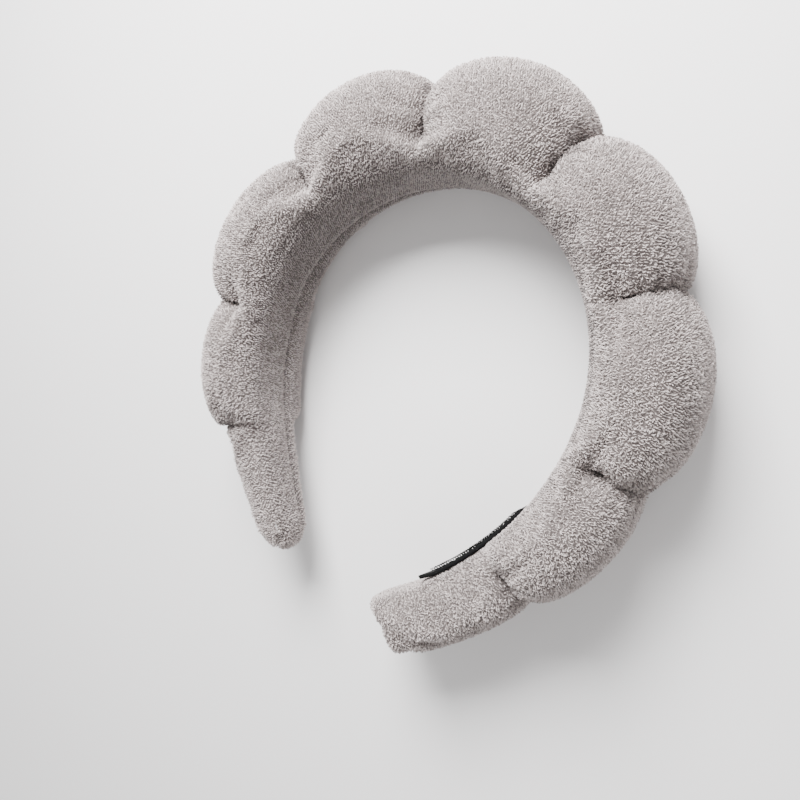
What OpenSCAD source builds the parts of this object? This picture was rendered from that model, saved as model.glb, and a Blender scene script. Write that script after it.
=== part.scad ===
// Puffed terry headband. A springy plastic strip bent to a hoop carries a row of foam
// lumps inside one terry sleeve, and loops of thread pinch the sleeve between the lumps.
// It lies on its side: +Y points to the crown, -Y to the open tips, and +Z is up, across
// the band's width. The origin is the centre of the crown's arc, on the resting plane.
// Sizes along the band are arc lengths on its head side. Heights are measured outwards
// from that side, and the right half (+X) is mirrored to make the left one.

/* [Hoop curve] */
// Radius of the head side over the crown's half circle
crown_radius = 57; // [50:0.5:68]
// Radius of the head side of the legs, below the half circle
leg_radius = 90; // [76:1:110]
// Angle that each leg turns through on its own radius
leg_angle = 28.7; // [22:0.5:34]
// Radius of the head side of the tails
tail_radius = 230; // [180:5:300]

/* [Lengths along the band] */
// Length of the crown puff
crown_length = 39; // [32:0.5:47]
// Length of each upper puff
upper_length = 35; // [29:0.5:42]
// Length of each middle puff
middle_length = 42; // [35:0.5:50]
// Length of each lower puff
lower_length = 37.5; // [31:0.5:45]
// Length of each plain tail, from the last cinch to the tip
tail_length = 46.5; // [38:0.5:56]

/* [Puff heights] */
// Height of the crown puff over the head side
crown_height = 36.5; // [31:0.5:44]
// Height of each upper puff
upper_height = 34; // [29:0.5:41]
// Height of each middle puff
middle_height = 32; // [27:0.5:39]
// Height of each lower puff
lower_height = 28.5; // [26:0.5:35]
// Height of the pinched waist at the six upper cinches
waist_height = 22.5; // [18:0.5:25]
// Height of the pinched waist where each tail starts
tail_waist_height = 19; // [16:0.5:22]
// Height of each tail at its thick end
tail_height = 20.5; // [17:0.5:24]
// Height of each tail at its tip
tip_height = 15; // [12:0.5:18]

/* [Widths across the band] */
// Height of the band's middle plane over the resting plane
middle_plane = 21.5; // [19:0.5:25]
// Widest part of the crown, upper and middle puffs before they rest flat
puff_width = 46; // [40:0.5:52]
// Widest part of each lower puff
lower_width = 43; // [38:0.5:48]
// Width of the flat head side
band_width = 33; // [31:0.5:38]
// Width of the pinched waists
waist_width = 32; // [28:0.5:36]
// Width of each tail at its thick end
tail_width = 29; // [27:0.5:34]
// Width of each tail at its tip
tip_width = 23; // [19:0.5:28]

/* [Hoop strip] */
// Thickness of the plastic strip
strip_thickness = 1.6; // [1.2:0.1:2]
// Width of the plastic strip
strip_width = 16; // [13:0.5:17]
// Gap between neighbouring lengths of strip, where it flexes
strip_gap = 0.5; // [0.3:0.1:0.8]
// Distance from the strip's end to the tip of the sleeve
strip_end_gap = 7; // [6:0.5:12]

/* [Sleeve and thread] */
// Thickness of the terry sleeve
sleeve_thickness = 1.6; // [1:0.1:2]
// Clearance between layers of the band
layer_gap = 0.3; // [0.2:0.05:0.4]
// Half of the gap between neighbouring puffs, at the strip
pinch_gap = 0.9; // [0.9:0.1:1.3]
// Thickness of the cinching thread's windings, along and across
thread_size = 0.6; // [0.4:0.05:0.7]
// Length of one stitch of the closing seam
stitch_length = 2.6; // [2:0.1:3]
// Distance between the stitches' centres
stitch_pitch = 3.9; // [3.4:0.1:5]
// Thickness of a stitch
stitch_size = 0.5; // [0.3:0.1:0.7]
// Distance of the closing seam from the edge of the head side
seam_inset = 5; // [4:0.5:6]
// Least distance of the closing seam from the edge of a tail
tail_seam_inset = 3; // [2.5:0.5:4]
// How far the closing seam wanders towards the middle down the left leg
seam_drift = 6; // [0:0.5:7]

/* [Grip tape] */
// Length of the hook tape, on the right leg
tape_length = 45; // [38:1:52]
// Length of tape that lies past the last cinch, on the tail
tape_on_tail = 29.5; // [24:0.5:34]
// Width of the hook tape
tape_width = 16; // [13:0.5:17]
// Thickness of the hook tape, with its hooks
tape_thickness = 2.2; // [1.5:0.1:2.6]

/* [Flexing] */
// Largest opening at each crown cinch, in degrees
crown_opening = 8; // [6:0.5:9]
// Largest opening at each upper cinch, in degrees
upper_opening = 7; // [5:0.5:8]
// Largest opening at each middle cinch, in degrees
middle_opening = 5.8; // [4:0.2:7]

/* [Hidden] */

// Fineness: points round a section, stations along a puff, length of a strip's facets
section_points = 24;
puff_stations = 8;
strip_step = 2;

// Colours
terry_grey = [0.70, 0.675, 0.67];
foam_white = [0.93, 0.92, 0.88];
strip_white = [0.88, 0.89, 0.90];
thread_grey = [0.55, 0.53, 0.53];
hook_black = [0.06, 0.06, 0.07];

// Roundness of a section: 2 is an ellipse, more is squarer. The sleeve's head side is nearly
// flat, and the foam's is softer so that it stays inside.
outer_roundness = 2.5;
head_roundness = 7;
foam_roundness = 3.4;
// Share of a section's height at which it is widest
widest_at = 0.48;
// Roundness of a puff's bulge along the band
bulge_roundness = 2.2;
// Angle that each pinched gap opens beyond half of the cinch's travel, in degrees
pinch_margin = 1;

// Puffs and tail on one side, from the crown outwards
CROWN = 0;
UPPER = 1;
MIDDLE = 2;
LOWER = 3;
TAIL = 4;

// Where each cinch lies along the band, then the tip
crown_end = crown_length / 2;
upper_end = crown_end + upper_length;
middle_end = upper_end + middle_length;
lower_end = middle_end + lower_length;
tip_end = lower_end + tail_length;
ends = [crown_end, upper_end, middle_end, lower_end, tip_end];
starts = [-crown_end, crown_end, upper_end, middle_end, lower_end];

heights = [crown_height, upper_height, middle_height, lower_height];
widths = [puff_width, puff_width, puff_width, lower_width];
waists = [waist_height, waist_height, waist_height, tail_waist_height];
openings = [crown_opening, upper_opening, middle_opening, 0];

// Layers, as heights over the head side
strip_low = sleeve_thickness + 2 * layer_gap;
strip_high = strip_low + strip_thickness;
foam_low = strip_high + layer_gap;
foam_inset = sleeve_thickness + layer_gap;

// ---- The band's curve ----

// Length of the half circle's quarter, and of the crown and leg arcs together
crown_arc = crown_radius * PI / 2;
leg_arc_end = crown_arc + leg_radius * leg_angle * PI / 180;
leg_turn = 90 + leg_angle;

function outward(turn) = [sin(turn), cos(turn)];
leg_centre = (crown_radius - leg_radius) * outward(90);
tail_centre = leg_centre + (leg_radius - tail_radius) * outward(leg_turn);

// The three arcs: where each starts and ends along the band, its turn there, radius, centre
arcs = [
    [0, crown_arc, 0, crown_radius, [0, 0]],
    [crown_arc, leg_arc_end, 90, leg_radius, leg_centre],
    [leg_arc_end, tip_end, leg_turn, tail_radius, tail_centre]
];
function arc_at(s) = abs(s) < crown_arc ? arcs[0] : abs(s) < leg_arc_end ? arcs[1] : arcs[2];
function radius_at(s) = arc_at(s)[3];
function turn_on(arc, s) = arc[2] + (s - arc[0]) / arc[3] * 180 / PI;
function turn_at(s) = sign(s) * turn_on(arc_at(s), abs(s));

// The point at length s along the band and height r over its head side
function band_point(s, r) =
    let (
        arc = arc_at(s),
        p = arc[4] + (arc[3] + r) * outward(turn_on(arc, abs(s)))
    )
    [s < 0 ? -p[0] : p[0], p[1]];

// Puts its children at a point of the band, +X along it and +Y outwards
module on_band(s, r, z) {
    p = band_point(s, r);
    translate([p[0], p[1], z])
        rotate([0, 0, -turn_at(s)])
            children();
}

// ---- Sections ----

// Outline of the band across its length, as [across, height] points: round outside and at
// the sides, nearly flat on the head side
function section(low, mid, high, width, flat, head) =
    let (
        foot = min(flat, width)
    )
    [for (i = [0:section_points - 1])
        let (
            a = 360 * i / section_points,
            n = sin(a) > 0 ? outer_roundness : head,
            reach = pow(pow(abs(cos(a)), n) + pow(abs(sin(a)), n), -1 / n),
            up = reach * sin(a),
            half = width / 2 + (foot - width) / 2 * pow(max(-up, 0), 3)
        )
        [half * reach * cos(a), mid + (up > 0 ? high - mid : mid - low) * up]];

// ---- Stations along a puff or a tail: [along from -1 to 1, height, width] ----

function puff_station(i, u) =
    let (
        start_waist = waists[max(i - 1, 0)],
        base = start_waist + (waists[i] - start_waist) * (u + 1) / 2,
        bulge = sqrt(1 - pow(abs(u), bulge_roundness))
    )
    [u, base + (heights[i] - base) * bulge, waist_width + (widths[i] - waist_width) * bulge];

// A tail swells out of its waist, tapers, and rounds off at the tip
tail_swell = 0.16;
tip_round = 0.78;
tip_left = 0.5;
function tail_station(t) =
    let (
        swell = sqrt(min(t / tail_swell, 1)),
        tip = sqrt(1 - (1 - tip_left * tip_left) * pow(max(t - tip_round, 0) / (1 - tip_round), 2)),
        high = tail_height + (tip_height - tail_height) * t,
        wide = tail_width + (tip_width - tail_width) * t
    )
    [2 * t - 1,
        (tail_waist_height + (high - tail_waist_height) * swell) * tip,
        (tail_width + (wide - tail_width) * swell) * (1 + tip) / 2];

// Share of a tail's half length that each layer inside the sleeve stops short of the tip
tip_tuck = 0.04;
tail_steps = [0, 0.05, 0.16, 0.35, 0.55, 0.74, 0.85, 0.93, 0.98, 1];

function stations(i) = i == TAIL
    ? [for (t = tail_steps) tail_station(t)]
    : [for (k = [0:puff_stations]) puff_station(i, -cos(180 * k / puff_stations))];

// Half of the gap left for cinch i at height r: a wedge that lets its two sides close
function gap_at(i, s, r) =
    let (lean = openings[i] == 0 ? 0 : openings[i] / 2 + pinch_margin)
    (pinch_gap + max(r - strip_high, 0) * tan(lean)) * radius_at(s) / (radius_at(s) + r);

// Length along the band of a point at station u and height r of puff i
function along(i, u, r) =
    let (
        middle = (starts[i] + ends[i]) / 2,
        half = (ends[i] - starts[i]) / 2,
        s = middle + u * half
    )
    s + max(-u, 0) * gap_at(max(i - 1, 0), s, r) - (i == TAIL ? 0 : max(u, 0) * gap_at(i, s, r));

// One ring of points on puff i, taken in by inset from the sleeve's outside, down to low.
// The lowest side is flattened on the resting plane.
function ring(i, station, inset, low, head, tuck) =
    let (
        mid = widest_at * station[1],
        high = station[1] - inset,
        outline = section(low, mid, high, station[2] - 2 * inset, band_width - 2 * inset, head),
        u = station[0] * (1 - tuck)
    )
    [for (q = outline)
        let (p = band_point(along(i, u, q[1]), q[1]))
        [p[0], p[1], max(middle_plane + q[0], inset)]];

function rings(i, inset, low, head, tuck = 0) =
    [for (st = stations(i)) each ring(i, st, inset, low, head, tuck)];

// ---- Closed surfaces from rings of points ----

// Triangles between neighbouring rings, from point number first on
function wall(first, rows, inside) =
    [for (row = [0:rows - 2], k = [0:section_points - 1])
        let (
            next = (k + 1) % section_points,
            a = first + row * section_points + k,
            b = first + row * section_points + next,
            c = a + section_points,
            d = b + section_points
        )
        each inside ? [[a, c, b], [b, c, d]] : [[a, b, c], [b, d, c]]];

// Triangles between the outer ring at a and the inner ring at b
function rim(a, b, at_start) =
    [for (k = [0:section_points - 1])
        let (next = (k + 1) % section_points)
        each at_start
            ? [[a + k, b + k, a + next], [a + next, b + k, b + next]]
            : [[a + k, a + next, b + k], [a + next, b + next, b + k]]];

function cap(first, at_start) =
    [[for (k = [0:section_points - 1]) first + (at_start ? section_points - 1 - k : k)]];

module solid_rings(points) {
    rows = len(points) / section_points;
    polyhedron(
        points,
        concat(wall(0, rows, false), cap(0, true), cap((rows - 1) * section_points, false))
    );
}

module hollow_rings(outer, inner, closed_end) {
    rows = len(outer) / section_points;
    last = (rows - 1) * section_points;
    shift = len(outer);
    polyhedron(
        concat(outer, inner),
        concat(
            wall(0, rows, false),
            wall(shift, rows, true),
            rim(0, shift, true),
            closed_end
                ? concat(cap(last, false), cap(shift + last, true))
                : rim(last, shift + last, false)
        )
    );
}

// ---- Sub-parts of the right half ----

// A flat strip that follows the band's curve from s0 to s1, between heights r0 and r1
module band_strip(s0, s1, r0, r1, width) {
    steps = ceil((s1 - s0) / strip_step);
    stops = [for (k = [0:steps]) s0 + (s1 - s0) * k / steps];
    translate([0, 0, middle_plane - width / 2])
        linear_extrude(width)
            polygon(concat(
                [for (s = stops) band_point(s, r1)],
                [for (k = [steps:-1:0]) band_point(stops[k], r0)]
            ));
}

// One length of the hoop's plastic strip, between two flexing places
module strip_length(s0, s1) {
    color(strip_white)
        band_strip(s0, s1, strip_low, strip_high, strip_width);
}

// The foam lump that fills one puff or tail
module foam_lump(i) {
    color(foam_white)
        solid_rings(rings(i, foam_inset, foam_low, foam_roundness, i == TAIL ? 2 * tip_tuck : 0));
}

// The stretch of terry sleeve over one puff or tail
module sleeve(i) {
    color(terry_grey)
        hollow_rings(
            rings(i, 0, 0, head_roundness),
            rings(i, sleeve_thickness, sleeve_thickness, head_roundness, i == TAIL ? tip_tuck : 0),
            i == TAIL
        );
}

// Outline of the waist at cinch i, above the strip, taken in by inset
function waist_outline(i, inset) = section(
    foam_low + inset,
    widest_at * waists[i],
    waists[i] - inset,
    waist_width - 2 * inset,
    band_width,
    foam_roundness
);

// The thread wound round the waist at cinch i, over the strip, against the inner puff
module cinch_thread(i) {
    lean = openings[i] == 0 ? 0 : openings[i] / 2 + pinch_margin;
    seat = pinch_gap - (pinch_gap - thread_size) / 3;
    color(thread_grey)
        on_band(ends[i], strip_high, middle_plane)
            rotate([0, 0, lean])
                translate([-seat, -strip_high, 0])
                    rotate([0, 90, 0])
                        linear_extrude(thread_size)
                            difference() {
                                polygon(waist_outline(i, 0));
                                polygon(waist_outline(i, thread_size));
                            }
}

// How far the seam lies below the middle plane at s. It wanders by drift towards the middle
// down a leg, and stays inside the edge of a tail.
function seam_offset(s, drift) =
    let (
        edge = tail_width + (tip_width - tail_width) * max(s - lower_end, 0) / tail_length,
        offset = band_width / 2 - seam_inset - drift * min(abs(s) / crown_arc, 1)
    )
    s < lower_end ? offset : min(offset, edge / 2 - tail_seam_inset);

// A row of stitches along the head side, from s0 to s1, that closes the sleeve
module seam_row(s0, s1, drift) {
    count = floor((s1 - s0 - 2 * pinch_gap) / stitch_pitch);
    middle = (s0 + s1) / 2;
    color(thread_grey)
        for (k = [0:count - 1]) {
            s = middle + (k - (count - 1) / 2) * stitch_pitch;
            on_band(s, -layer_gap - stitch_size / 2, middle_plane - seam_offset(s, drift))
                cube([stitch_length, stitch_size, stitch_size], center = true);
        }
}

// The strip of hook tape sewn on the right leg's head side, across the last cinch
module grip_strip() {
    color(hook_black)
        band_strip(
            lower_end + tape_on_tail - tape_length,
            lower_end + tape_on_tail,
            -layer_gap - tape_thickness,
            -layer_gap,
            tape_width
        );
}

module left() {
    mirror([1, 0, 0])
        children();
}

// ---- The strip's lengths ----
half_gap = strip_gap / 2;
upper_strip = [crown_end + half_gap, upper_end - half_gap];
middle_strip = [upper_end + half_gap, middle_end - half_gap];
lower_strip = [middle_end + half_gap, tip_end - strip_end_gap];

module strip_crown() { strip_length(half_gap - crown_end, crown_end - half_gap); }
module strip_upper() { strip_length(upper_strip[0], upper_strip[1]); }
module strip_middle() { strip_length(middle_strip[0], middle_strip[1]); }
module strip_lower() { strip_length(lower_strip[0], lower_strip[1]); }

strip_crown();
left() strip_upper();  // strip_left_upper
left() strip_middle();  // strip_left_middle
left() strip_lower();  // strip_left_lower
strip_upper();  // strip_right_upper
strip_middle();  // strip_right_middle
strip_lower();  // strip_right_lower

foam_lump(CROWN);  // foam_crown
left() foam_lump(UPPER);  // foam_left_upper
left() foam_lump(MIDDLE);  // foam_left_middle
left() foam_lump(LOWER);  // foam_left_lower
left() foam_lump(TAIL);  // foam_left_tail
foam_lump(UPPER);  // foam_right_upper
foam_lump(MIDDLE);  // foam_right_middle
foam_lump(LOWER);  // foam_right_lower
foam_lump(TAIL);  // foam_right_tail

sleeve(CROWN);  // cover_crown
left() sleeve(UPPER);  // cover_left_upper
left() sleeve(MIDDLE);  // cover_left_middle
left() sleeve(LOWER);  // cover_left_lower
left() sleeve(TAIL);  // cover_left_tail
sleeve(UPPER);  // cover_right_upper
sleeve(MIDDLE);  // cover_right_middle
sleeve(LOWER);  // cover_right_lower
sleeve(TAIL);  // cover_right_tail

left() cinch_thread(CROWN);  // cinch_left_crown
left() cinch_thread(UPPER);  // cinch_left_upper
left() cinch_thread(MIDDLE);  // cinch_left_middle
left() cinch_thread(LOWER);  // cinch_left_lower
cinch_thread(CROWN);  // cinch_right_crown
cinch_thread(UPPER);  // cinch_right_upper
cinch_thread(MIDDLE);  // cinch_right_middle
cinch_thread(LOWER);  // cinch_right_lower

seam_row(-crown_end, crown_end, 0);  // seam_crown
left() seam_row(crown_end, upper_end, seam_drift);  // seam_left_upper
left() seam_row(upper_end, middle_end, seam_drift);  // seam_left_middle
left() seam_row(middle_end, lower_end, seam_drift);  // seam_left_lower
left() seam_row(lower_end, tip_end - strip_end_gap, seam_drift);  // seam_left_tail
seam_row(crown_end, upper_end, 0);  // seam_right_upper
seam_row(upper_end, middle_end, 0);  // seam_right_middle
seam_row(middle_end, lower_end, 0);  // seam_right_lower
seam_row(lower_end, tip_end - strip_end_gap, 0);  // seam_right_tail

grip_strip();  // hook_tape
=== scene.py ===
import math

import bpy
import numpy as np
from mathutils import Matrix, Vector


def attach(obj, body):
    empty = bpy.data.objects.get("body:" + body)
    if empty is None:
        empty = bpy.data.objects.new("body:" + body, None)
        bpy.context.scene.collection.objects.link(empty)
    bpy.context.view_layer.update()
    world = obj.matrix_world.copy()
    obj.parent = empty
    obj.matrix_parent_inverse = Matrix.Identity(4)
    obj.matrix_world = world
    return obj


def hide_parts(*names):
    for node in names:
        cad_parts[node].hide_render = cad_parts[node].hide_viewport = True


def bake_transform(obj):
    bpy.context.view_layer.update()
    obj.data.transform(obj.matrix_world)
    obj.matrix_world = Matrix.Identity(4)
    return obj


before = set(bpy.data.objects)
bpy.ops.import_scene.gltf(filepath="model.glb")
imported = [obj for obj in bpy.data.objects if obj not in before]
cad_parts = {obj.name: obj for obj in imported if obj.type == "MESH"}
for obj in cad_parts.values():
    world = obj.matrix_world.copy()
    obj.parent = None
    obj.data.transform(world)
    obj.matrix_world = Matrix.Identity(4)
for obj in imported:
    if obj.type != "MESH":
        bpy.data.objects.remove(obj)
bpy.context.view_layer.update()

# ---- Camera -----------------------------------------------------------------
# The band lies on its side. The camera looks down on it from the right leg's side, rolled so
# that the crown is at the top of its view. Places in metres, angles in degrees, lens in mm.
CAMERA_TARGET = np.array((-0.0025, -0.0163, 0.0215))
CAMERA_AZIMUTH, CAMERA_ELEVATION, CAMERA_ROLL = 116.0, 62.0, -93.0
CAMERA_DISTANCE, CAMERA_LENS = 0.241, 32.4

azimuth, elevation, roll = (math.radians(a) for a in (CAMERA_AZIMUTH, CAMERA_ELEVATION, CAMERA_ROLL))
towards = np.array((math.sin(azimuth) * math.cos(elevation),
                    -math.cos(azimuth) * math.cos(elevation), math.sin(elevation)))
side = np.cross(-towards, (0, 0, 1))
side /= np.linalg.norm(side)
upward = np.cross(side, -towards)
right = side * math.cos(roll) + upward * math.sin(roll)
top = upward * math.cos(roll) - side * math.sin(roll)
camera = bpy.data.objects.new("camera", bpy.data.cameras.new("camera"))
bpy.context.collection.objects.link(camera)
camera.data.sensor_width = 36
camera.data.lens = CAMERA_LENS
camera.data.clip_start, camera.data.clip_end = 0.01, 10
place = np.eye(4)
place[:3, :3] = np.stack((right, top, towards), axis=1)
place[:3, 3] = CAMERA_TARGET + towards * CAMERA_DISTANCE
camera.matrix_world = Matrix(place.tolist())
bpy.context.scene.camera = camera

# ---- Sleeve -----------------------------------------------------------------
# One tube of looped terry knit over foam. Threads pinch it at eight places, so it swells
# between them into seven puffs and two plain tails, with gathers fanning out of each pinch.

# Sizes are in millimetres. In names, s is a length along the band's head side from the crown,
# positive to the right tail, r a height outwards from the head side, and c a distance across
# the band from its middle plane.
MID_PLANE = 21.5
# Radius and length of each arc of the head side. The crown's is a quarter turn.
ARCS = ((57.0, 89.535), (90.0, 45.082), (230.0, 60.0))
# Each puff: length where it starts and ends, height, width, lean of its crest, tilt across
PUFFS = (
    (-134.0, -96.0, 23.4, 40.5, 0.05, 0.4),
    (-96.0, -54.0, 29.2, 44.0, -0.04, -0.5),
    (-54.0, -16.5, 34.2, 43.5, 0.06, 0.3),
    (-16.5, 20.0, 35.4, 44.4, 0.03, -0.3),
    (20.0, 55.0, 32.0, 44.0, -0.05, 0.5),
    (55.0, 96.0, 29.8, 44.4, -0.06, -0.4),
    (96.0, 134.0, 25.2, 41.0, -0.03, 0.3),
)
CINCHES = [PUFFS[0][0]] + [puff[1] for puff in PUFFS]
# The left tail narrows to a round tip, and the right one keeps its width and ends nearly square.
# Each tail: length where it ends, height gained past its pinch, height and width lost along it,
# squareness of its tip, shares of its height and width left there, and how far the tip rises.
TAILS = (
    (-180.3, 0.5, 8.5, 10, 2, 0.04, 0.04, 5.0),
    (184.0, 3.0, 1.5, 2, 6, 0.90, 0.03, 0.8),
)
TAIL_START, TAIL_WIDTH = 134, 27.5
# Depth of the hollow in the right tail's square end
HOLLOW_DEPTH = 3.2
WAIST_WIDTH, WAIST_HEIGHT = 26.5, 21.0
LAST_WAIST_DROP = 3.0
HEAD_SIDE_WIDTH = 33.0
# Below this height, over this depth, a puff's sides stay full up to its pinches
SIDE_TOP, SIDE_DEPTH, SIDE_FULLNESS = 11.5, 8, 0.75
# Height over which a crest leans along the band, and rise of a tilted one for each mm across
CREST_BASE, TILT_RISE = 12, 0.02
# The tube's grid: columns round it, and rows on each puff and each tail
AROUND, PUFF_ROWS, TAIL_ROWS = 112, 36, 48
random = np.random.default_rng(7)


def band_frame(s):
    """Point on the head side at signed length s, and the unit direction outwards there. Each
    arc starts where the last one ended and keeps its direction."""
    s = np.asarray(s, float)
    flip = np.where(s < 0, -1.0, 1.0)
    centre, turn, start = np.zeros(2), 0.0, 0.0
    point, out = np.zeros(s.shape + (2,)), np.zeros(s.shape + (2,))
    for k, (radius, length) in enumerate(ARCS):
        a = turn + (np.abs(s) - start) / radius
        here = (np.abs(s) >= start)[..., None]
        direction = np.stack((np.sin(a), np.cos(a)), -1)
        point = np.where(here, centre + radius * direction, point)
        out = np.where(here, direction, out)
        turn += length / radius
        start += length
        if k + 1 < len(ARCS):
            centre = centre + (radius - ARCS[k + 1][0]) * np.array((math.sin(turn), math.cos(turn)))
    point[..., 0] *= flip
    out[..., 0] *= flip
    return point, out


def on_band(s, height, across):
    """Places in metres for lengths s, heights over the head side and distances across: the
    point on the head side, plus the height times the direction outwards."""
    point, out = band_frame(s)
    xy = point + out * np.asarray(height, float)[..., None]
    z = np.broadcast_to(MID_PLANE + np.asarray(across, float), xy.shape[:-1])
    return np.concatenate((xy, z[..., None]), -1) / 1000


def linear(code):
    """Linear red, green and blue of an sRGB hex code, by the sRGB transfer curve."""
    c = np.array([int(code[i:i + 2], 16) for i in (0, 2, 4)]) / 255
    return tuple(np.where(c <= 0.04045, c / 12.92, ((c + 0.055) / 1.055) ** 2.4)) + (1.0,)


def add(tree, kind, links=None, **settings):
    """Adds a shader node, with its sockets' values and settings, and links sockets to it."""
    made = tree.nodes.new(kind)
    for name, value in settings.items():
        socket = made.inputs.get(name.replace("_", " ").title()) or made.inputs.get(name)
        if socket is not None and not hasattr(made, name):
            socket.default_value = value
        else:
            setattr(made, name, value)
    for name, source in (links or {}).items():
        tree.links.new(source, made.inputs[name])
    return made


def material(name, roughness):
    """A new node material: returns it, its tree, its shader and object coordinates in mm."""
    made = bpy.data.materials.new(name)
    made.use_nodes = True
    tree = made.node_tree
    shader = tree.nodes["Principled BSDF"]
    shader.inputs["Roughness"].default_value = roughness
    place = add(tree, "ShaderNodeTexCoord")
    scale = add(tree, "ShaderNodeMapping", {"Vector": place.outputs["Object"]})
    scale.inputs["Scale"].default_value = (1000, 1000, 1000)
    return made, tree, shader, scale.outputs["Vector"]


def ramp(tree, factor, stops):
    """A colour ramp over factor, with (position, hex code) stops."""
    made = add(tree, "ShaderNodeValToRGB", {"Fac": factor})
    band = made.color_ramp
    while len(band.elements) < len(stops):
        band.elements.new(0.5)
    for element, (position, code) in zip(band.elements, stops):
        element.position = position
        element.color = linear(code)
    return made.outputs["Color"]


def mixed(tree, factor, first, second):
    """The first colour where factor is 0 and the second where it is 1. Each colour is a socket
    or a hex code."""
    made = add(tree, "ShaderNodeMix", data_type="RGBA")
    tree.links.new(factor, made.inputs["Factor"])
    for number, colour in ((6, first), (7, second)):
        if isinstance(colour, str):
            made.inputs[number].default_value = linear(colour)
        else:
            tree.links.new(colour, made.inputs[number])
    return made.outputs[2]


def new_object(name, points, faces, look, uv=None, normals=None, smooth=True):
    """A mesh object at the origin from points in metres and an array of four-cornered faces."""
    mesh = bpy.data.meshes.new(name)
    faces = np.asarray(faces, np.int32)
    mesh.vertices.add(len(points))
    mesh.vertices.foreach_set("co", np.asarray(points, np.float32).ravel())
    mesh.loops.add(faces.size)
    mesh.loops.foreach_set("vertex_index", faces.ravel())
    mesh.polygons.add(len(faces))
    mesh.polygons.foreach_set("loop_start", np.arange(0, faces.size, faces.shape[1], dtype=np.int32))
    mesh.polygons.foreach_set("use_smooth", np.full(len(faces), smooth))
    if uv is not None:
        layer = mesh.uv_layers.new(name="OFBake")
        layer.uv.foreach_set("vector", np.asarray(uv, np.float32).ravel())
    mesh.update(calc_edges=True)
    mesh.validate()
    if normals is not None:
        mesh.normals_split_custom_set_from_vertices(normals.tolist())
    mesh.materials.append(look)
    made = bpy.data.objects.new(name, mesh)
    bpy.context.collection.objects.link(made)
    return made


def set_attribute(made, name, values):
    """Stores one number for each vertex of a piece, which its material reads by name."""
    attribute = made.data.attributes.new(name, "FLOAT", "POINT")
    attribute.data.foreach_set("value", values.astype(np.float32))


def superellipse(angle, n_out, n_head):
    """Unit section at the given angles: distance across and height, squarer for larger n. The
    n-th powers of the two add up to 1."""
    c, s = np.cos(angle), np.sin(angle)
    n = np.where(s > 0, n_out, n_head)
    reach = (np.abs(c) ** n + np.abs(s) ** n) ** (-1 / n)
    return reach * c, reach * s


def section(angle, high, width, foot, n_out=2.5, n_head=5.0, widest=0.48):
    """Across and height of a section: a superellipse above its widest height and a squarer
    one below, which draws in to the flat head side."""
    c, up = superellipse(angle, n_out, n_head)
    half = width / 2 + (np.minimum(foot, width) - width) / 2 * np.clip(-up, 0, 1) ** 3
    middle = widest * high
    return half * c, middle + np.where(up > 0, high - middle, middle) * up


def bump(x, centre, spread):
    """A smooth hill of height 1: e to the minus square of the distance over the spread."""
    return np.exp(-(((x - centre) / spread) ** 2))


# Each puff swells from the narrow section of its pinches to its own full section, mostly as
# a round ball and partly as a pressed cushion. Rows crowd together at the pinches.
angle = np.arange(AROUND) / AROUND * 2 * np.pi
rows_s, rows_c, rows_r = [], [], []
for k, (start, end, high, width, lean, tilt) in enumerate(PUFFS):
    u = np.sin(np.linspace(-np.pi / 2, np.pi / 2, PUFF_ROWS + 1))
    if k:
        u = u[1:]
    s = (start + end) / 2 + (end - start) / 2 * u
    waist = WAIST_HEIGHT * np.ones_like(u)
    if k in (0, len(PUFFS) - 1):
        waist = WAIST_HEIGHT - LAST_WAIST_DROP * np.clip(u * (1 if k else -1) + 1, 0, 2) / 2
    ball = np.clip(1 - np.abs(u) ** 2.05, 0, 1) ** 0.56
    press = np.clip(1 - np.abs(u) ** 30, 0, 1) ** 0.5
    swell = 0.92 * ball + 0.08 * press
    c0, r0 = section(angle[None], waist[:, None], WAIST_WIDTH, WAIST_WIDTH)
    c1, r1 = section(angle[None], high, width, HEAD_SIDE_WIDTH)
    share = swell[:, None] * np.ones(AROUND)
    below = np.clip((SIDE_TOP - r1) / SIDE_DEPTH, 0, 1)
    if k in (0, len(PUFFS) - 1):
        below = below * (np.abs(np.abs(s) - TAIL_START) / 9).clip(0, 1)[:, None] ** 0.7
    share = share + (1 - share) * SIDE_FULLNESS * below * (3 - 2 * below) * below
    c = c0 + (c1 - c0) * share
    r = r0 + (r1 - r0) * share
    leaning = lean * u[:, None] * (r - CREST_BASE).clip(0) * ball[:, None]
    r = r + leaning + tilt * TILT_RISE * c * ball[:, None]
    rows_s.append(s)
    rows_c.append(c)
    rows_r.append(r)


def tail_curl(s):
    """How much the right tail curls inwards, growing with the square of the distance past the
    last pinch."""
    return -3.6 * (np.clip(s - TAIL_START, 0, 50) / 50) ** 2


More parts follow.
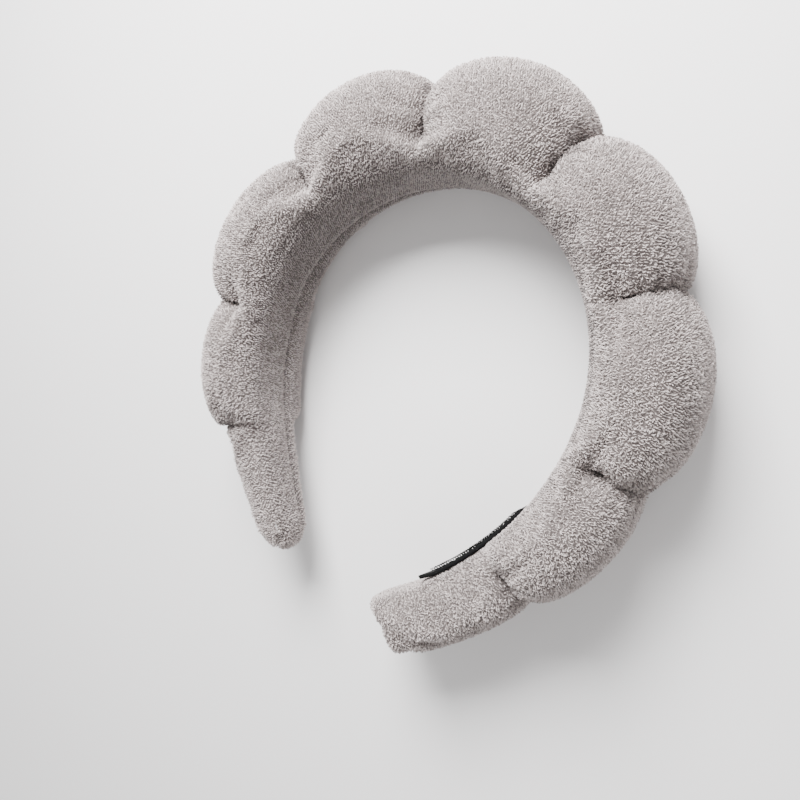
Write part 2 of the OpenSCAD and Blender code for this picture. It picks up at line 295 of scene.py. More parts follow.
# A tail starts as its pinch, swells over its first seventh, tapers in a straight line, and
# closes over its last fifth as a superellipse. Rows crowd together towards the tip.
for tip_s, gain, height_loss, width_loss, squareness, height_left, width_left, tip_rise in TAILS:
    sign = np.sign(tip_s)
    t = 1 - (1 - np.linspace(0, 1, TAIL_ROWS) ** 1.15) ** 1.6
    swell = np.clip(t / 0.14, 0, 1) ** 0.5
    end = np.clip((t - 0.80) / 0.20, 0, 1)
    close = (1 - end ** squareness) ** 0.5
    high = WAIST_HEIGHT - LAST_WAIST_DROP + (gain - height_loss * t) * swell
    high = high * (height_left + (1 - height_left) * close)
    width = (TAIL_WIDTH - width_loss * t) * (width_left + (1 - width_left) * close)
    width = WAIST_WIDTH + (width - WAIST_WIDTH) * np.clip(t / 0.1, 0, 1)
    c, r = section(angle[None], high[:, None], width[:, None], HEAD_SIDE_WIDTH, 2.3, 3.4, 0.5)
    r = r + (1 - close[:, None]) * tip_rise
    s = sign * TAIL_START + (tip_s - sign * TAIL_START) * t
    if sign > 0:
        hollow = 1 - ((r - 10.5) / 10).clip(-1, 1) ** 2
        s = s[:, None] - HOLLOW_DEPTH * end[:, None] ** 2 * hollow
        r = r + tail_curl(s)
    for rows, values in ((rows_s, s), (rows_c, c), (rows_r, r)):
        if sign > 0:
            rows.append(values[1:])
        else:
            rows.insert(0, values[:0:-1])
full_s = np.concatenate([s[:, None] * np.ones(AROUND) if s.ndim == 1 else s for s in rows_s])
row_s = full_s[:, 0]
grid_c = np.concatenate(rows_c)
grid_r = np.concatenate(rows_r)

# Gathers: folds that start at each pinch and die out over a few millimetres, and the dimple
# where each crease ends halfway down the side. Each fold: depth, and number round the sleeve.
FOLDS = ((0.55, 13), (0.35, 21), (0.25, 34))
FOLD_DEPTH, FOLD_REACH, FOLD_START = 0.75, 4.5, 1.2
DIMPLE_DEPTH, DIMPLE_HEIGHT, DIMPLE_SPREAD, DIMPLE_REACH = 2.6, 11.5, 3.6, 3.4
CREASE_REACH = 2.6
SECTION_MIDDLE = 11.0
inward = np.zeros_like(grid_c)
crease_shade = np.zeros_like(grid_c)
for cinch in CINCHES:
    d = np.abs(row_s - cinch)[:, None]
    phases = random.uniform(0, 2 * np.pi, len(FOLDS))
    folds = sum(depth * np.cos(count * angle + phase) for (depth, count), phase in zip(FOLDS, phases))
    upper = np.clip((grid_r - 5) / 6, 0, 1)
    inward += folds * np.exp(-d / FOLD_REACH) * (1 - np.exp(-d / FOLD_START)) * upper * FOLD_DEPTH
    # Painted shade: how far each point lies in a crease, to darken the loops there
    crease_shade += np.exp(-(d / CREASE_REACH) ** 1.5) * np.clip((grid_r - 6) / 3, 0, 1)
    for edge in (-1, 1):
        spot = bump(grid_r, DIMPLE_HEIGHT, DIMPLE_SPREAD) * (np.sign(grid_c) == edge)
        inward += DIMPLE_DEPTH * (spot * np.exp(-d / DIMPLE_REACH))
away = np.stack((grid_c, grid_r - SECTION_MIDDLE), -1)
away /= np.linalg.norm(away, axis=-1, keepdims=True).clip(1e-6)
grid_c = grid_c - inward * away[..., 0]
lowest = tail_curl(full_s)
grid_r = np.maximum(grid_r - inward * away[..., 1], lowest)


def seam_across(s):
    """Where the closing seam runs across the head side: near one edge, wandering towards the
    middle down the left leg and drawn in a little on the right tail."""
    wander = 6.8 * np.clip(-s / 85, 0, 1) ** 1.3
    drawn_in = 1.6 * np.clip((s - TAIL_START) / 30, 0, 1)
    return -11.3 + np.where(s < 0, wander, drawn_in)


# The seam pulls a furrow in the head side
FURROW_DEPTH, FURROW_SPREAD = 0.9, 1.5
furrow = bump(grid_c, seam_across(full_s), FURROW_SPREAD) * np.clip(1.5 - (grid_r - lowest), 0, 1)
grid_r = grid_r + FURROW_DEPTH * furrow
# The lower edge flattens out where it comes this near the floor, and no place is left lower
# than the second height
FLAT_BELOW, LOWEST_PLACE = 0.6, 0.3
z = MID_PLANE + grid_c
z = np.where(z < FLAT_BELOW, FLAT_BELOW * np.exp((z - FLAT_BELOW) / FLAT_BELOW * 0.8), z)
grid = on_band(full_s, grid_r, z - MID_PLANE)

# Knitted cotton ground: matt, darker than the pile as painted shade, since light hardly reaches
# it, and darkest on the head side, as painted shade for the head side lying in shadow, where the pile is
# pressed flat and the ground shows between the loops.
terry, tree, shader, place = material("terry ground", 1.0)
shader.inputs["Sheen Weight"].default_value = 0.15
cloud = add(tree, "ShaderNodeTexNoise", {"Vector": place}, Scale=0.09, Detail=3.0)
inside = add(tree, "ShaderNodeAttribute", attribute_name="inside")
ground = ramp(tree, cloud.outputs["Fac"], ((0.3, "625b59"), (0.7, "716967")))
# Painted shade: the ground on the head side, which lies in shadow, turns darker
with_head_side_shade = mixed(tree, inside.outputs["Fac"], ground, "4c4544")
tree.links.new(with_head_side_shade, shader.inputs["Base Color"])


def settle(points):
    """Cloth simulation of the sleeve: it is held at the pinches and along the head side, is
    cut slightly larger than the foam, and fills under a small pressure. Every second row and
    column takes part, and the others move with their neighbours, no point by over 1.1 mm."""
    step, frames, most = 2, 20, 0.0011
    picked = np.unique(np.concatenate((np.arange(0, len(points), step),
                                       [int(np.argmin(np.abs(row_s - c))) for c in CINCHES],
                                       [len(points) - 1])))
    coarse = points[picked][:, ::step]
    n, m = coarse.shape[:2]
    index = np.arange(n * m).reshape(n, m)
    faces = np.stack((index[:-1], np.roll(index, -1, 1)[:-1], np.roll(index, -1, 1)[1:], index[1:]), -1)
    cloth = new_object("settle", coarse.reshape(-1, 3), faces.reshape(-1, 4), terry)
    held = ((grid_r - lowest)[picked][:, ::step] < 1.5)
    for c in CINCHES:
        held |= (np.abs(row_s[picked] - c) < 0.2)[:, None]
    held[:3] = True
    held[-3:] = True
    group = cloth.vertex_groups.new(name="held")
    group.add(np.flatnonzero(held.ravel()).tolist(), 1.0, "REPLACE")
    modifier = cloth.modifiers.new("cloth", "CLOTH")
    cloth_settings = modifier.settings
    cloth_settings.quality = 6
    cloth_settings.mass = 0.15
    cloth_settings.tension_stiffness = 12
    cloth_settings.compression_stiffness = 6
    cloth_settings.shear_stiffness = 4
    cloth_settings.bending_stiffness = 0.4
    cloth_settings.shrink_min = -0.05
    cloth_settings.vertex_group_mass = "held"
    cloth_settings.use_pressure = True
    cloth_settings.uniform_pressure_force = 4
    cloth_settings.effector_weights.gravity = 0
    modifier.point_cache.frame_start, modifier.point_cache.frame_end = 1, frames
    for number in range(1, frames + 1):
        bpy.context.scene.frame_set(number)
    shown = cloth.evaluated_get(bpy.context.evaluated_depsgraph_get())
    moved = np.empty(n * m * 3, np.float32)
    shown.data.vertices.foreach_get("co", moved)
    shift = moved.reshape(n, m, 3).astype(float) - coarse
    bpy.context.scene.frame_set(1)
    mesh = cloth.data
    bpy.data.objects.remove(cloth)
    bpy.data.meshes.remove(mesh)
    length = np.linalg.norm(shift, axis=-1, keepdims=True)
    shift = shift * np.minimum(1, most / np.maximum(length, 1e-9))
    full = np.empty(points.shape)
    spread = np.arange(AROUND) / step
    low = np.floor(spread).astype(int)
    part = (spread - low)[None, :, None]
    columns = shift[:, low % m] * (1 - part) + shift[:, (low + 1) % m] * part
    for k in range(3):
        for j in range(AROUND):
            full[:, j, k] = np.interp(np.arange(len(points)), picked, columns[:, j, k])
    return points + full


grid = settle(grid)
grid[..., 2] = np.maximum(grid[..., 2], LOWEST_PLACE / 1000)


def unit(v):
    """Directions of vectors: each vector over its own length."""
    return v / np.linalg.norm(v, axis=-1, keepdims=True).clip(1e-12)


# Unit normals of the tube, square to its rows and columns, turned outwards
normals = unit(np.cross(np.roll(grid, -1, 1) - np.roll(grid, 1, 1), np.gradient(grid, axis=0)))
if normals[len(grid) // 2, AROUND // 4, 1] < 0:
    normals = -normals

# How far each point is on the flat head side, where the pile is pressed down and painted darker as shade,
# least on the tails
on_head_side = np.clip((2.8 - (grid_r - lowest)) / 2.2, 0, 1)
inside_share = on_head_side * np.interp(np.abs(full_s), (70, 140), (1.0, 0.3))


def quads(first, last):
    """Faces between rows first and last of the tube, facing outwards."""
    index = np.arange(len(grid) * AROUND).reshape(len(grid), AROUND)[first:last + 1]
    near, far = np.roll(index, -1, 1), index
    return np.stack((far[:-1], far[1:], near[1:], near[:-1]), -1).reshape(-1, 4)


def cap(row):
    """Faces that close the tube at its first or last row, each between two pairs of columns."""
    index = np.arange(AROUND) + row * AROUND
    j = np.arange(AROUND // 2 - 1)
    faces = np.stack((index[j], index[j + 1], index[AROUND - 2 - j], index[AROUND - 1 - j]), -1)
    return faces if row == 0 else faces[:, ::-1]


def tube_map(count):
    """Map of a tube of count rows of faces: rows run along one side of a square, columns along
    the other."""
    across = np.linspace(0, 1, count + 1)
    corner_row = np.stack((np.arange(count),) * 4, -1) + (0, 1, 1, 0)
    corner_column = np.stack((np.arange(AROUND),) * 4, -1) + (0, 0, 1, 1)
    uv = np.stack(np.broadcast_arrays(across[corner_row][:, None], corner_column[None] / AROUND), -1)
    return uv.reshape(-1, 2) * (0.97, 0.996) + 0.002


def cap_map():
    """Map of a cap's faces: a ladder of small cells beside the tube's own map."""
    cell = np.array(((0.98, 0.01), (0.98, 0.025), (0.995, 0.025), (0.995, 0.01)))
    rung = np.stack((np.arange(AROUND // 2 - 1),) * 4, -1)[..., None]
    return (rung * (0, 0.017) + cell).reshape(-1, 2)


# The sleeve is cut into pieces at the middles of the puffs, where nothing flexes. A piece
# crosses the hinge in its pinch, and the last one of each leg rides with the tail.
BORDERS = (0.0, 37.0, 75.5, 115.25, 200.0)
JOINS = (("crown", "upper"), ("upper", "middle"), ("middle", "lower"), ("lower", None))
# Distance inside a piece's borders, and height, of the two places worked out in follow; no bend is made
# there
BEND_MARGIN, STRIP_HEIGHT = 4, 3.8


def follow(made, part):
    """Makes the last piece of a leg ride with the tail. Any other piece only has its place baked into its
    mesh; the ends of its bend are worked out but not used.
    """
    if part["far"] is None:
        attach(made, part["bodies"][0])
    else:
        ends = [tuple(on_band(part["sign"] * s, STRIP_HEIGHT, 0))
                for s in (part["low"] + BEND_MARGIN, part["high"] - BEND_MARGIN)]
        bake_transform(made)


parts = []
for leg, sign in (("left", -1), ("right", 1)):
    for (near, far), (low, high) in zip(JOINS, zip(BORDERS, BORDERS[1:])):
        bodies = ["crown" if near == "crown" else f"{leg}_{near}"]
        if far is None:
            nodes = [f"{leg}_tail", f"{leg}_lower"]
            name = f"{leg}_{near}"
        else:
            bodies.append(f"{leg}_{far}")
            nodes = bodies
            name = f"{leg}_{near}_{far}"
        edges = [int(np.argmin(np.abs(row_s - sign * border))) for border in (low, high)]
        parts.append({"name": name, "leg": leg, "sign": sign, "near": near, "far": far,
                      "low": low, "high": high, "bodies": bodies, "nodes": nodes,
                      "first": min(edges), "last": max(edges)})

for part in parts:
    first, last = part["first"], part["last"]
    faces = quads(first, last) - first * AROUND
    uv = tube_map(last - first)
    if part["far"] is None:
        faces = np.concatenate((faces, cap(0 if part["sign"] < 0 else last - first)))
        uv = np.concatenate((uv, cap_map()))
    sleeve = new_object("sleeve_" + part["name"], grid[first:last + 1].reshape(-1, 3), faces, terry,
                        uv, normals[first:last + 1].reshape(-1, 3))
    # The head-side share also sets the painted shade there
    set_attribute(sleeve, "inside", inside_share[first:last + 1].ravel())
    follow(sleeve, part)
    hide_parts(*[f"{layer}_{node}" for node in part["nodes"] for layer in ("cover", "foam")])

# ---- Terry pile -------------------------------------------------------------
# Loops of the same cotton yarn, light grey with darker fibres among them. They stand on the
# ground in the columns of the knit, lean at random, and lie pressed down on the head side.

# Cotton yarn: no gloss, a soft sheen from its fibres, and a tone that changes from loop to
# loop and slowly over the cloth, with painted shade lowering it in the creases. The pressed pile on the
# head side is more even and painted darker as shade, since the head side lies in shadow.
yarn, tree, shader, place = material("terry loops", 1.0)
shader.inputs["Sheen Weight"].default_value = 0.35
shader.inputs["Sheen Roughness"].default_value = 0.6
shade = add(tree, "ShaderNodeAttribute", attribute_name="shade")
inside = add(tree, "ShaderNodeAttribute", attribute_name="inside")
cloud = add(tree, "ShaderNodeTexNoise", {"Vector": place}, Scale=0.12, Detail=4.0)
tone_and_crease_shade = add(tree, "ShaderNodeMath", {0: shade.outputs["Fac"], 1: cloud.outputs["Fac"]}, operation="ADD")
# Colours of the outer pile; its lowest stops are reached in the creases, where painted shade lowers the
# tone
outer_colours = ramp(tree, tone_and_crease_shade.outputs[0],
             ((0.0, "665b59"), (0.45, "9f9390"), (0.75, "b8aca8"), (1.0, "cabebb"), (1.35, "dfd3d0")))
# Painted shade: darker colours for the pile on the head side, which lies in shadow
head_side_colours = ramp(tree, tone_and_crease_shade.outputs[0], ((0.35, "6b6260"), (0.8, "958b88"), (1.25, "bbb0ad")))
with_head_side_shade = mixed(tree, inside.outputs["Fac"], outer_colours, head_side_colours)
tree.links.new(with_head_side_shade, shader.inputs["Base Color"])

# Loops are spaced this far apart, in columns that are evenly spaced round the widest section
LOOP_PITCH = 0.76
# Sizes of a loop, in mm, each between two limits, and its height where it is pressed down
LOOP_HEIGHTS, LOOP_HALF_WIDTHS, YARN_RADII = (0.55, 1.15), (0.20, 0.30), (0.10, 0.14)
PRESSED_HEIGHT = 0.55
# Spread of a loop's turn and lean, in radians and as a slope
LOOP_TURN, LOOP_LEAN = 0.6, 0.38
LOOP_STEPS, YARN_SIDES = 4, 3
# Steps of a sequence that fills a square evenly, along the columns and across them
EVEN_STEPS = (0.5698, 0.7549)


def between(values, row, column):
    """Values of the tube's grid at fractional rows and columns, weighted from the four nearest."""
    i = np.clip(np.floor(row).astype(int), 0, len(values) - 2)
    j = np.floor(column).astype(int)
    a, b = (row - i)[:, None], (column - j)[:, None]
    j, k = j % AROUND, (j + 1) % AROUND
    near = values[i, j] * (1 - b) + values[i, k] * b
    far = values[i + 1, j] * (1 - b) + values[i + 1, k] * b
    return near * (1 - a) + far * a


def running_length(path):
    """Length of a path up to each of its points, from 0 at the first."""
    return np.concatenate(([0], np.cumsum(np.linalg.norm(np.diff(path, axis=0), axis=1))))


def tubes(path, radius, reference, sides, closed=False):
    """Tubes along many paths at once, of shape (count, steps, 3): each step gets a ring of
    corners, at the radius from the path, turned from the side given by the reference. The map
    gives each tube its own cell of a square."""
    if closed:
        ahead = unit(np.roll(path, -1, 1) - np.roll(path, 1, 1))
    else:
        ahead = unit(np.gradient(path, axis=1))
    sideways = unit(np.cross(ahead, reference))
    outer = np.cross(sideways, ahead)
    turns = np.pi / 2 + np.arange(sides) * 2 * np.pi / sides
    rings = [path + (sideways * math.cos(a) + outer * math.sin(a)) * radius for a in turns]
    points = np.stack(rings, 2)
    index = np.arange(points[..., 0].size).reshape(points.shape[:3])
    after = np.roll(index, -1, 1) if closed else index[:, 1:]
    before = index if closed else index[:, :-1]
    faces = np.stack((before, np.roll(before, -1, 2), np.roll(after, -1, 2), after), -1)
    count, spans = before.shape[:2]
    cells = math.ceil(math.sqrt(count))
    tube, span, face = np.meshgrid(np.arange(count), np.arange(spans), np.arange(sides), indexing="ij")
    u = (tube % cells)[..., None] + 0.04 + 0.92 * (span[..., None] + (0, 0, 1, 1)) / spans
    v = (tube // cells)[..., None] + 0.04 + 0.92 * (face[..., None] + (0, 1, 1, 0)) / sides
    return points.reshape(-1, 3), faces.reshape(-1, 4), np.stack((u, v), -1).reshape(-1, 2) / cells


widest_row = int(np.argmin(np.abs(row_s)))
ring = np.concatenate((grid[widest_row], grid[widest_row, :1]))
ring_length = running_length(ring)
columns = int(ring_length[-1] * 1000 / LOOP_PITCH)
column_length = (np.arange(columns) + 0.5) / columns * ring_length[-1]
column_at = np.interp(column_length, ring_length, np.arange(AROUND + 1))


def loop_roots(first, last):
    """Rows and columns of the pile's roots between two rows of the grid: a knit lattice, evenly
    spaced along each column and shifted by half a step from one column to the next. Where the
    columns crowd together, an evenly scattered share of roots is left out: a root is kept when
    its number in a sequence that fills the plane evenly is below the spacing over the pitch."""
    found, number_at = [], []
    at = np.arange(first, last + 1)
    for number, column in enumerate(column_at):
        length = running_length(between(grid, at.astype(float), np.full(len(at), column))) * 1000
        count = max(int(length[-1] / LOOP_PITCH), 1)
        wanted = (np.arange(count) + (0.25 if number % 2 else 0.75)) / count * length[-1]
        found.append(np.stack((np.interp(wanted, length, at), np.full(count, column)), -1))
        number_at.append((number * EVEN_STEPS[1] + np.arange(count) * EVEN_STEPS[0]) % 1)
    found = np.concatenate(found)
    row, column = found.T
    step = np.interp(column, column_at, np.gradient(column_at)) / 2
    apart = between(grid, row, column + step) - between(grid, row, column - step)
    spacing = np.linalg.norm(apart, axis=1) * 1000
    found = found[np.concatenate(number_at) * 0.9 * LOOP_PITCH < spacing]
    found[:, 1] += random.uniform(-0.18, 0.18, len(found))
    return found


def loop_pile(name, found, first, last):
    """Terry pile of one piece: each loop is half an ellipse of three-sided yarn, which stands
    across the columns, turned a little at random, and whose top leans over."""
    row, column = found.T
    root = between(grid, row, column) * 1000
    normal = unit(between(normals, row, column))
    head_side_share = between(inside_share[..., None], row, column)[:, 0]
    crease_shading = between(crease_shade[..., None], row, column)[:, 0]
    count = len(found)
    turn = random.normal(0, LOOP_TURN, count)[:, None]
    ahead = between(grid, row + 0.5, column) - between(grid, row - 0.5, column)
    north = unit(ahead - normal * np.sum(ahead * normal, -1, keepdims=True))
    east = np.cross(north, normal)
    along = east * np.cos(turn) + north * np.sin(turn)
    lean = random.normal(0, LOOP_LEAN, (count, 2))
    rise = unit(normal + east * lean[:, :1] + north * lean[:, 1:])
    high = (random.uniform(*LOOP_HEIGHTS, count) * (1 - head_side_share) + PRESSED_HEIGHT * head_side_share)[:, None]
    wide = random.uniform(*LOOP_HALF_WIDTHS, count)[:, None]
    thick = random.uniform(*YARN_RADII, count)[:, None]
    steps = np.linspace(-0.08, 1.08, LOOP_STEPS) * np.pi
    path = np.stack([root - along * np.cos(a) * wide + rise * np.sin(a) * high for a in steps], 1)
    points, faces, _ = tubes(path, thick[..., None], normal[:, None] + along[:, None] * 0.01, YARN_SIDES)
    points[:, 2] = np.maximum(points[:, 2], 0.02)
    spot = np.stack(((row - first) / (last - first), column / AROUND * 2 % 1), -1)
    spot = 0.002 + 0.996 * spot.clip(0, 1)
    corner = np.array(((0, 0), (1, 0), (1, 1), (0, 1))) * 0.0012
    uv = np.repeat(spot, (LOOP_STEPS - 1) * YARN_SIDES, 0)[:, None] * 0.997 + corner
    made = new_object(name, points / 1000, faces, yarn, uv)
    # Each loop's random tone, lowered by painted shade in the creases
    loop_tone_with_crease_shade = random.uniform(0, 1, count) - 0.75 * crease_shading
    set_attribute(made, "shade", np.repeat(loop_tone_with_crease_shade, LOOP_STEPS * YARN_SIDES))
    set_attribute(made, "inside", np.repeat(head_side_share, LOOP_STEPS * YARN_SIDES))
    return made


for part in parts:
    roots = loop_roots(part["first"], part["last"])
    outside = roots[:, 1] % AROUND < AROUND / 2
    for face, kept in (("outside", outside), ("head_side", ~outside)):
        pile = loop_pile(f"pile_{face}_{part['name']}", roots[kept], part["first"], part["last"])
        follow(pile, part)

# ---- Closing seam -----------------------------------------------------------
# One row of stitches in dark grey thread closes the sleeve along its head side. Each stitch
# comes up out of the cloth, lies along the furrow that it pulls, and goes down again.


def thread_finish(name, roughness, dark, light):
    """Spun sewing thread: dull, with its twist as fine bands between a dark and a light grey."""
    made, tree, shader, place = material(name, roughness)
    ply = add(tree, "ShaderNodeTexWave", {"Vector": place}, Scale=1.6, Distortion=1.0)
    twist = ramp(tree, ply.outputs["Fac"], ((0.2, dark), (0.8, light)))
    tree.links.new(twist, shader.inputs["Base Color"])
    return made


thread = thread_finish("grey thread", 0.75, "554f4f", "757070")
STITCH_PITCH, STITCH_LENGTH, STITCH_RADIUS = 3.9, 2.5, 0.19
SEAM_END = 170
# Height of a stitch over the head side at its middle, and how much more at its ends
STITCH_HEIGHT, STITCH_DIP = 0.3, 0.8

for part in parts:
    sign, low, end = part["sign"], part["low"], min(part["high"], SEAM_END)
    count = int((end - low) / STITCH_PITCH)
    middle = sign * (low + (np.arange(count) + 0.5) * (end - low) / count)
    steps = np.linspace(-1, 1, 9)
    s = middle[:, None] + steps * STITCH_LENGTH / 2
    height = STITCH_HEIGHT + STITCH_DIP * np.abs(steps) ** 4 + tail_curl(s)
    slant = 0.15 * steps * random.choice((-1, 1), count)[:, None]
    path = on_band(s, height, seam_across(s) + slant) * 1000
    points, faces, uv = tubes(path, STITCH_RADIUS, np.array((0.0, 0.0, 1.0)), 8)
    seam = new_object(f"closing_seam_{part['name']}", points / 1000, faces, thread, uv)
    follow(seam, part)
    stands_for = part["nodes"][:1] if part["far"] is None else part["nodes"]
    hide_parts(*[f"seam_{node}" for node in stands_for])

# ---- Cinching threads -------------------------------------------------------
# Eight loops of light grey thread, two plies each, pulled tight round the sleeve and the foam.
# Each lies at the bottom of its crease and passes inside the sleeve over the plastic strip.
pale = thread_finish("light grey thread", 0.8, "8c8382", "a79d9b")
PLY_RADIUS, PLY_APART, PLY_TWISTS, PLY_STEPS = 0.24, 0.26, 60, 420
# Depth of the thread in the terry, and its lowest height, just over the strip
THREAD_DEPTH, THREAD_LOWEST = 0.5, 4.6

for cinch in CINCHES:
    leg = "left" if cinch < 0 else "right"
    part = [p for p in parts if p["leg"] == leg and p["low"] < abs(cinch) < p["high"]][0]
    row = int(np.argmin(np.abs(row_s - cinch)))
    c = grid_c[row] - THREAD_DEPTH * away[row, :, 0]
    r = np.maximum(grid_r[row] - THREAD_DEPTH * away[row, :, 1], THREAD_LOWEST)
    at = np.arange(PLY_STEPS) / PLY_STEPS * AROUND
    c, r = (np.interp(at, np.arange(AROUND + 1), np.append(v, v[0])) for v in (c, r))
    wind = 2 * np.pi * PLY_TWISTS * np.arange(PLY_STEPS) / PLY_STEPS
    plies = []
    for start in (0, np.pi):
        s = np.full(PLY_STEPS, cinch) + PLY_APART * np.cos(wind + start)
        plies.append(on_band(s, r + PLY_APART * np.sin(wind + start), c) * 1000)
    points, faces, uv = tubes(np.stack(plies), PLY_RADIUS, np.array((0.13, 0.21, 0.97)), 5, closed=True)
    loop = new_object(f"cinch_thread_{leg}_{part['near']}", points / 1000, faces, pale, uv)
    follow(loop, part)
    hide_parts(f"cinch_{leg}_{part['near']}")

# ---- Hook tape --------------------------------------------------------------
# A strip of black woven nylon tape with rows of small moulded hooks, sewn round its edge to
# the head side of the right leg. Its tail end has been picked at, so one corner stands up.

# Black nylon: faintly glossy, with a fine weave in relief and grey flecks painted on as glints of the
# hooks
nylon, tree, shader, place = material("black nylon", 0.85)
shader.inputs["Specular IOR Level"].default_value = 0.2
weave = add(tree, "ShaderNodeTexWave", {"Vector": place}, Scale=1.1, Distortion=0.6)
glint_spots = add(tree, "ShaderNodeTexNoise", {"Vector": place}, Scale=1.3, Detail=2.0)
# Painted glints: grey flecks for light caught on the hooks
painted_glints = ramp(tree, glint_spots.outputs["Fac"], ((0.0, "020203"), (0.68, "070708"), (0.80, "4a4747")))
tree.links.new(painted_glints, shader.inputs["Base Color"])
relief = add(tree, "ShaderNodeBump", {"Height": weave.outputs["Fac"]}, Strength=0.4, Distance=0.0001)
tree.links.new(relief.outputs["Normal"], shader.inputs["Normal"])

TAPE_START, TAPE_END, TAPE_WIDTH, TAPE_THICKNESS = 117.0, 161.0, 17.0, 1.2
# How far over the head side the tape's underside is, how far its corner lifts, how far its far
# corner is cut back, and how much its long edges are rounded
TAPE_OFFSET, CORNER_LIFT, CORNER_CUT, EDGE_ROUND = 0.35, 0.9, 3.5, 0.15


def tape_point(s, across, height):
    """Places over the tape's underside: it follows the sleeve, thins out at its upper end, and
    its near corner at the tail end lifts off."""
    near = np.clip(across / TAPE_WIDTH + 0.6, 0, 1)
    lifted = CORNER_LIFT * np.clip((s - TAPE_END + 7) / 7, 0, 1) ** 1.6 * near
    thin = np.clip((s - TAPE_START) / 5, 0.25, 1)
    return on_band(s, tail_curl(s) - TAPE_OFFSET - lifted - height * thin, across)


def add_to_tape(made):
    """Makes a piece ride with the right leg's last length."""
    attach(made, "right_lower")


# The strip: a flat outline, across and high, carried along the tape
TAPE_ROWS, TAPE_COLUMNS = 60, 15
c = TAPE_WIDTH / 2 * np.sin(np.linspace(-np.pi / 2, np.pi / 2, TAPE_COLUMNS))
outline_c = np.concatenate((c, c[::-1]))
outline_h = np.repeat((0.0, TAPE_THICKNESS), TAPE_COLUMNS)
outline_h[[0, TAPE_COLUMNS - 1]] = EDGE_ROUND
outline_h[[TAPE_COLUMNS, 2 * TAPE_COLUMNS - 1]] = TAPE_THICKNESS - EDGE_ROUND
rows = np.linspace(0, 1, TAPE_ROWS)
cut_end = TAPE_END - CORNER_CUT * np.clip(0.5 - outline_c / TAPE_WIDTH, 0, 1)
s = TAPE_START + rows[:, None] * (cut_end - TAPE_START)
body = tape_point(s, outline_c[None] * np.clip(0.75 + rows[:, None] * 8, 0, 1), outline_h[None])
index = np.arange(body[..., 0].size).reshape(body.shape[:2])
turned = np.roll(index, -1, 1)
faces = [np.stack((index[:-1], index[1:], turned[1:], turned[:-1]), -1).reshape(-1, 4)]
half = np.arange(TAPE_COLUMNS - 1)
back = 2 * TAPE_COLUMNS - 2 - half
for row in (index[0], index[-1][::-1]):
    faces.append(np.stack((row[half], row[half + 1], row[back], row[back + 1]), -1))
tape = new_object("hook_tape_strip", body.reshape(-1, 3), np.concatenate(faces), nylon)
add_to_tape(tape)
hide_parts("hook_tape")

# Hooks in staggered rows, each a short stem bent over at its top, one way or the other
HOOK_PITCH, HOOK_ROWS_APART, HOOK_STAGGER, HOOK_RADIUS = 0.95, 0.9, 0.48, 0.12
# The bend of a hook: distance along the tape and height of each of its points
BEND = np.array(((0, 1.1), (0.02, 1.6), (0.10, 2.0), (0.34, 2.2), (0.55, 1.95)))
hook_s, hook_c = np.meshgrid(np.arange(TAPE_START + 2.5, TAPE_END - 3.5, HOOK_PITCH),
                             np.arange(-6.3, 6.4, HOOK_ROWS_APART))
hook_s = (hook_s + HOOK_STAGGER * (np.arange(hook_c.shape[0]) % 2)[:, None]).ravel()
hook_c = hook_c.ravel() + random.uniform(-0.08, 0.08, hook_c.size)
way = random.choice((-1, 1), hook_s.size)[:, None]
path = tape_point(hook_s[:, None] + way * BEND[:, 0], np.repeat(hook_c[:, None], len(BEND), 1),
                  BEND[:, 1][None] * np.ones_like(way)) * 1000
points, faces, uv = tubes(path, HOOK_RADIUS, np.array((0.0, 0.0, 1.0)), 4)
add_to_tape(new_object("hook_tape_hooks", points / 1000, faces, nylon, uv))

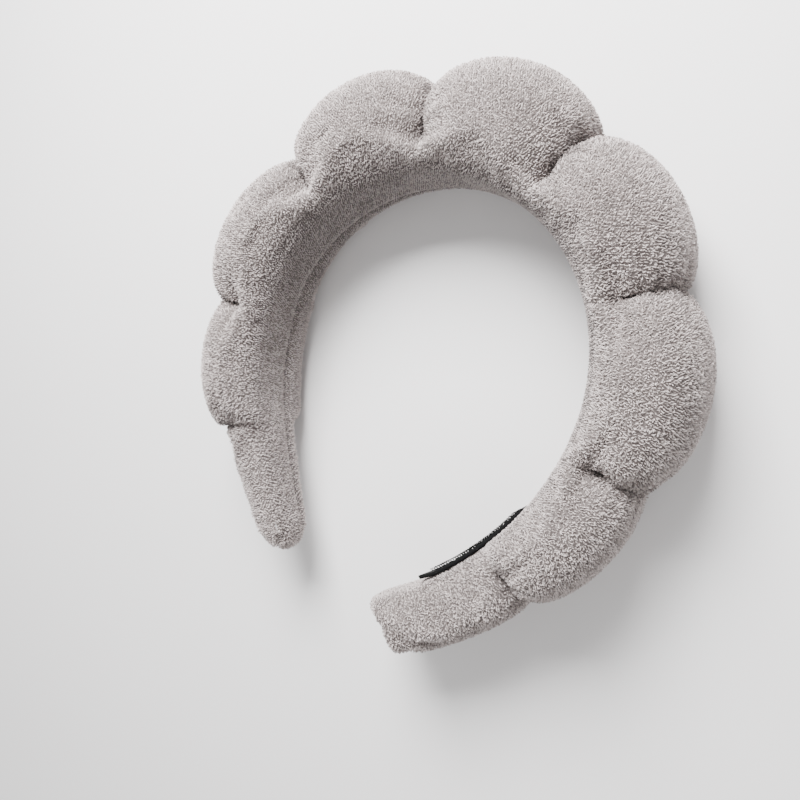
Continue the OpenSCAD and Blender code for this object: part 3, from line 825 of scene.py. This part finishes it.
# Stitches round the tape's edge. Each row: the middle's s and c, and half the length along
# the band and across it.
SEWING_PITCH, SEWING_RADIUS = 2.6, 0.17
edge = [(s, side * 7.2, 1.0, 0)
        for s in np.arange(TAPE_START + 3, TAPE_END - 6, SEWING_PITCH) for side in (-1, 1)]
edge += [(s, c, 0, 1.0)
         for s in (TAPE_START + 2.0, TAPE_END - 5.2) for c in np.arange(-5.8, 5.9, SEWING_PITCH)]
edge = np.array(edge)
steps = np.linspace(-1, 1, 7)
height = 1.4 - 0.7 * np.abs(steps)[None] ** 4 * np.ones((len(edge), 1))
path = tape_point(edge[:, :1] + edge[:, 2:3] * steps, edge[:, 1:2] + edge[:, 3:4] * steps, height) * 1000
points, faces, uv = tubes(path, SEWING_RADIUS, np.array((0.31, 0.27, 0.91)), 6)
add_to_tape(new_object("hook_tape_sewing", points / 1000, faces, nylon, uv))

# ---- Plastic strip ----------------------------------------------------------
# Flat moulded polypropylene, bent to the hoop. It is inside the sleeve, so its solids are
# shown as they are.

# Polypropylene: milky and half glossy, with a faint haze in its colour
plastic, tree, shader, place = material("milky plastic", 0.4)
haze = add(tree, "ShaderNodeTexNoise", {"Vector": place}, Scale=0.3, Detail=2.0)
milky = ramp(tree, haze.outputs["Fac"], ((0.3, "d9dbdd"), (0.7, "e6e7e8")))
tree.links.new(milky, shader.inputs["Base Color"])
for name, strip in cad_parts.items():
    if name.startswith("strip_"):
        strip.data.materials.clear()
        strip.data.materials.append(plastic)

# ---- Floor and light --------------------------------------------------------
# Pale matt paper under the band, a soft key light from beyond the crown, a wide weak one from
# the open end, and an even white surround. Places in metres.
FLOOR_REACH = 3
paper, tree, shader, place = material("paper", 0.8)
shader.inputs["Base Color"].default_value = linear("f6f4f4")
corners = [(x * FLOOR_REACH, y * FLOOR_REACH, 0) for x, y in ((-1, -1), (1, -1), (1, 1), (-1, 1))]
floor = new_object("floor", corners, [(0, 1, 2, 3)], paper, smooth=False)


def area_light(name, place, aim, size, power):
    """A square soft light at place, in metres, facing aim."""
    lamp = bpy.data.objects.new(name, bpy.data.lights.new(name, "AREA"))
    lamp.data.shape, lamp.data.size, lamp.data.energy = "SQUARE", size, power
    bpy.context.collection.objects.link(lamp)
    back = np.array(place, float) - np.array(aim, float)
    lamp.location = place
    lamp.rotation_mode = "QUATERNION"
    lamp.rotation_quaternion = Vector((-back).tolist()).to_track_quat("-Z", "Y")


area_light("key", (-0.14, 0.32, 0.36), (0, 0.04, 0.02), 0.28, 10.3)
area_light("fill", (0.5, -0.6, 0.7), (0, 0, 0.02), 1.0, 3)
world = bpy.data.worlds.new("world")
bpy.context.scene.world = world
world.use_nodes = True
world.node_tree.nodes["Background"].inputs["Color"].default_value = (1, 1, 1, 1)
world.node_tree.nodes["Background"].inputs["Strength"].default_value = 0.55
